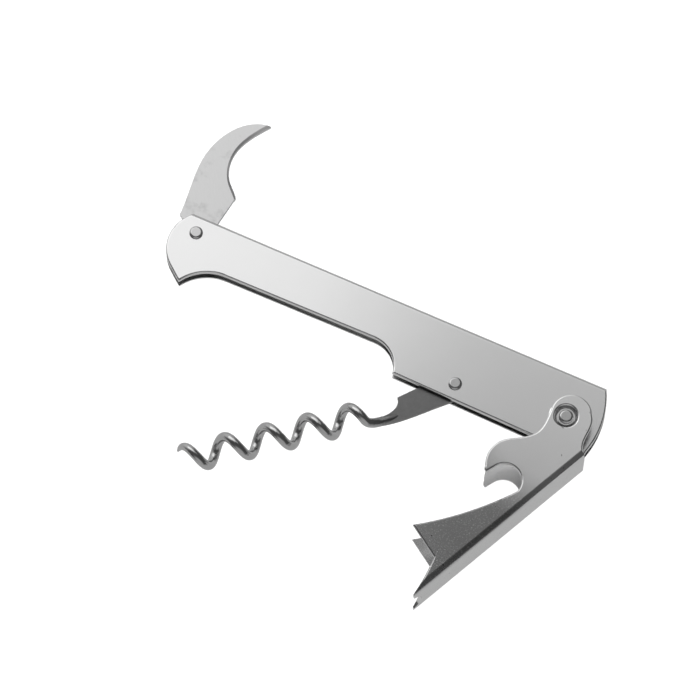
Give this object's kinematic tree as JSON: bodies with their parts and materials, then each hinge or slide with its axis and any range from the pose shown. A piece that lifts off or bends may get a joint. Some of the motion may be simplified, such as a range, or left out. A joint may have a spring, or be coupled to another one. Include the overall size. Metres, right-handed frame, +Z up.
{
  "type": "waiters corkscrew",
  "caption": "Steel waiters corkscrew with a folded channel handle, hawkbill foil knife, wire worm and a notched boot lever with a cap lifting hook.",
  "frame": {"origin": "axis of the boot lever's pivot, in the outer face of the lever cheek that the corkscrew lies on", "axes": "+X along the handle from the knife end to the lever end, +Y from the handle's open edge to its folded spine, +Z up across the thickness when it lies on its side"},
  "size_m": [0.116, 0.0963, 0.0127],
  "materials": {
    "handle_steel": "satin polished stainless steel, very fine lengthwise grain",
    "spring_steel": "plain tempered spring steel",
    "blade_steel": "matt tumbled stainless steel with fine scratches",
    "worm_steel": "bright polished steel wire",
    "lever_steel": "satin stainless steel, grainier along the boot",
    "rivet_steel": "peened steel heads",
    "washer_steel": "plain bright steel"
  },
  "bodies": {
    "handle": {"handle_shell": "handle_steel", "back_spring": "spring_steel", "knife_rivet": "rivet_steel", "knife_shim_back": "washer_steel", "knife_shim_front": "washer_steel", "worm_rivet": "rivet_steel", "worm_shim_back": "washer_steel", "worm_shim_front": "washer_steel", "lever_rivet": "rivet_steel", "lever_sleeve": "washer_steel", "lever_spacer_back": "washer_steel", "lever_spacer_front": "washer_steel", "rivet_washer_back": "washer_steel", "rivet_washer_front": "washer_steel"},
    "knife": {"foil_knife": "blade_steel"},
    "worm": {"worm": "worm_steel"},
    "lever": {"boot_lever": "lever_steel"}
  },
  "joints": [
    {"name": "lever_fold", "type": "hinge", "parent": "handle", "child": "lever", "pos_m": [0, 0, 0.00635], "axis": [0, 0, 1], "range_deg": [-65, 78]},
    {"name": "worm_fold", "type": "hinge", "parent": "handle", "child": "worm", "pos_m": [-0.02785, -0.00215, 0.00635], "axis": [0, 0, 1], "range_deg": [-37.5, 46]},
    {"name": "knife_fold", "type": "hinge", "parent": "handle", "child": "knife", "pos_m": [-0.1006, 0.00735, 0.00635], "axis": [0, 0, 1], "range_deg": [-90, 90]}
  ],
  "couplings": [
    {"joint": "worm_fold", "follows": "lever_fold", "ratio": 0.5769}
  ]
}
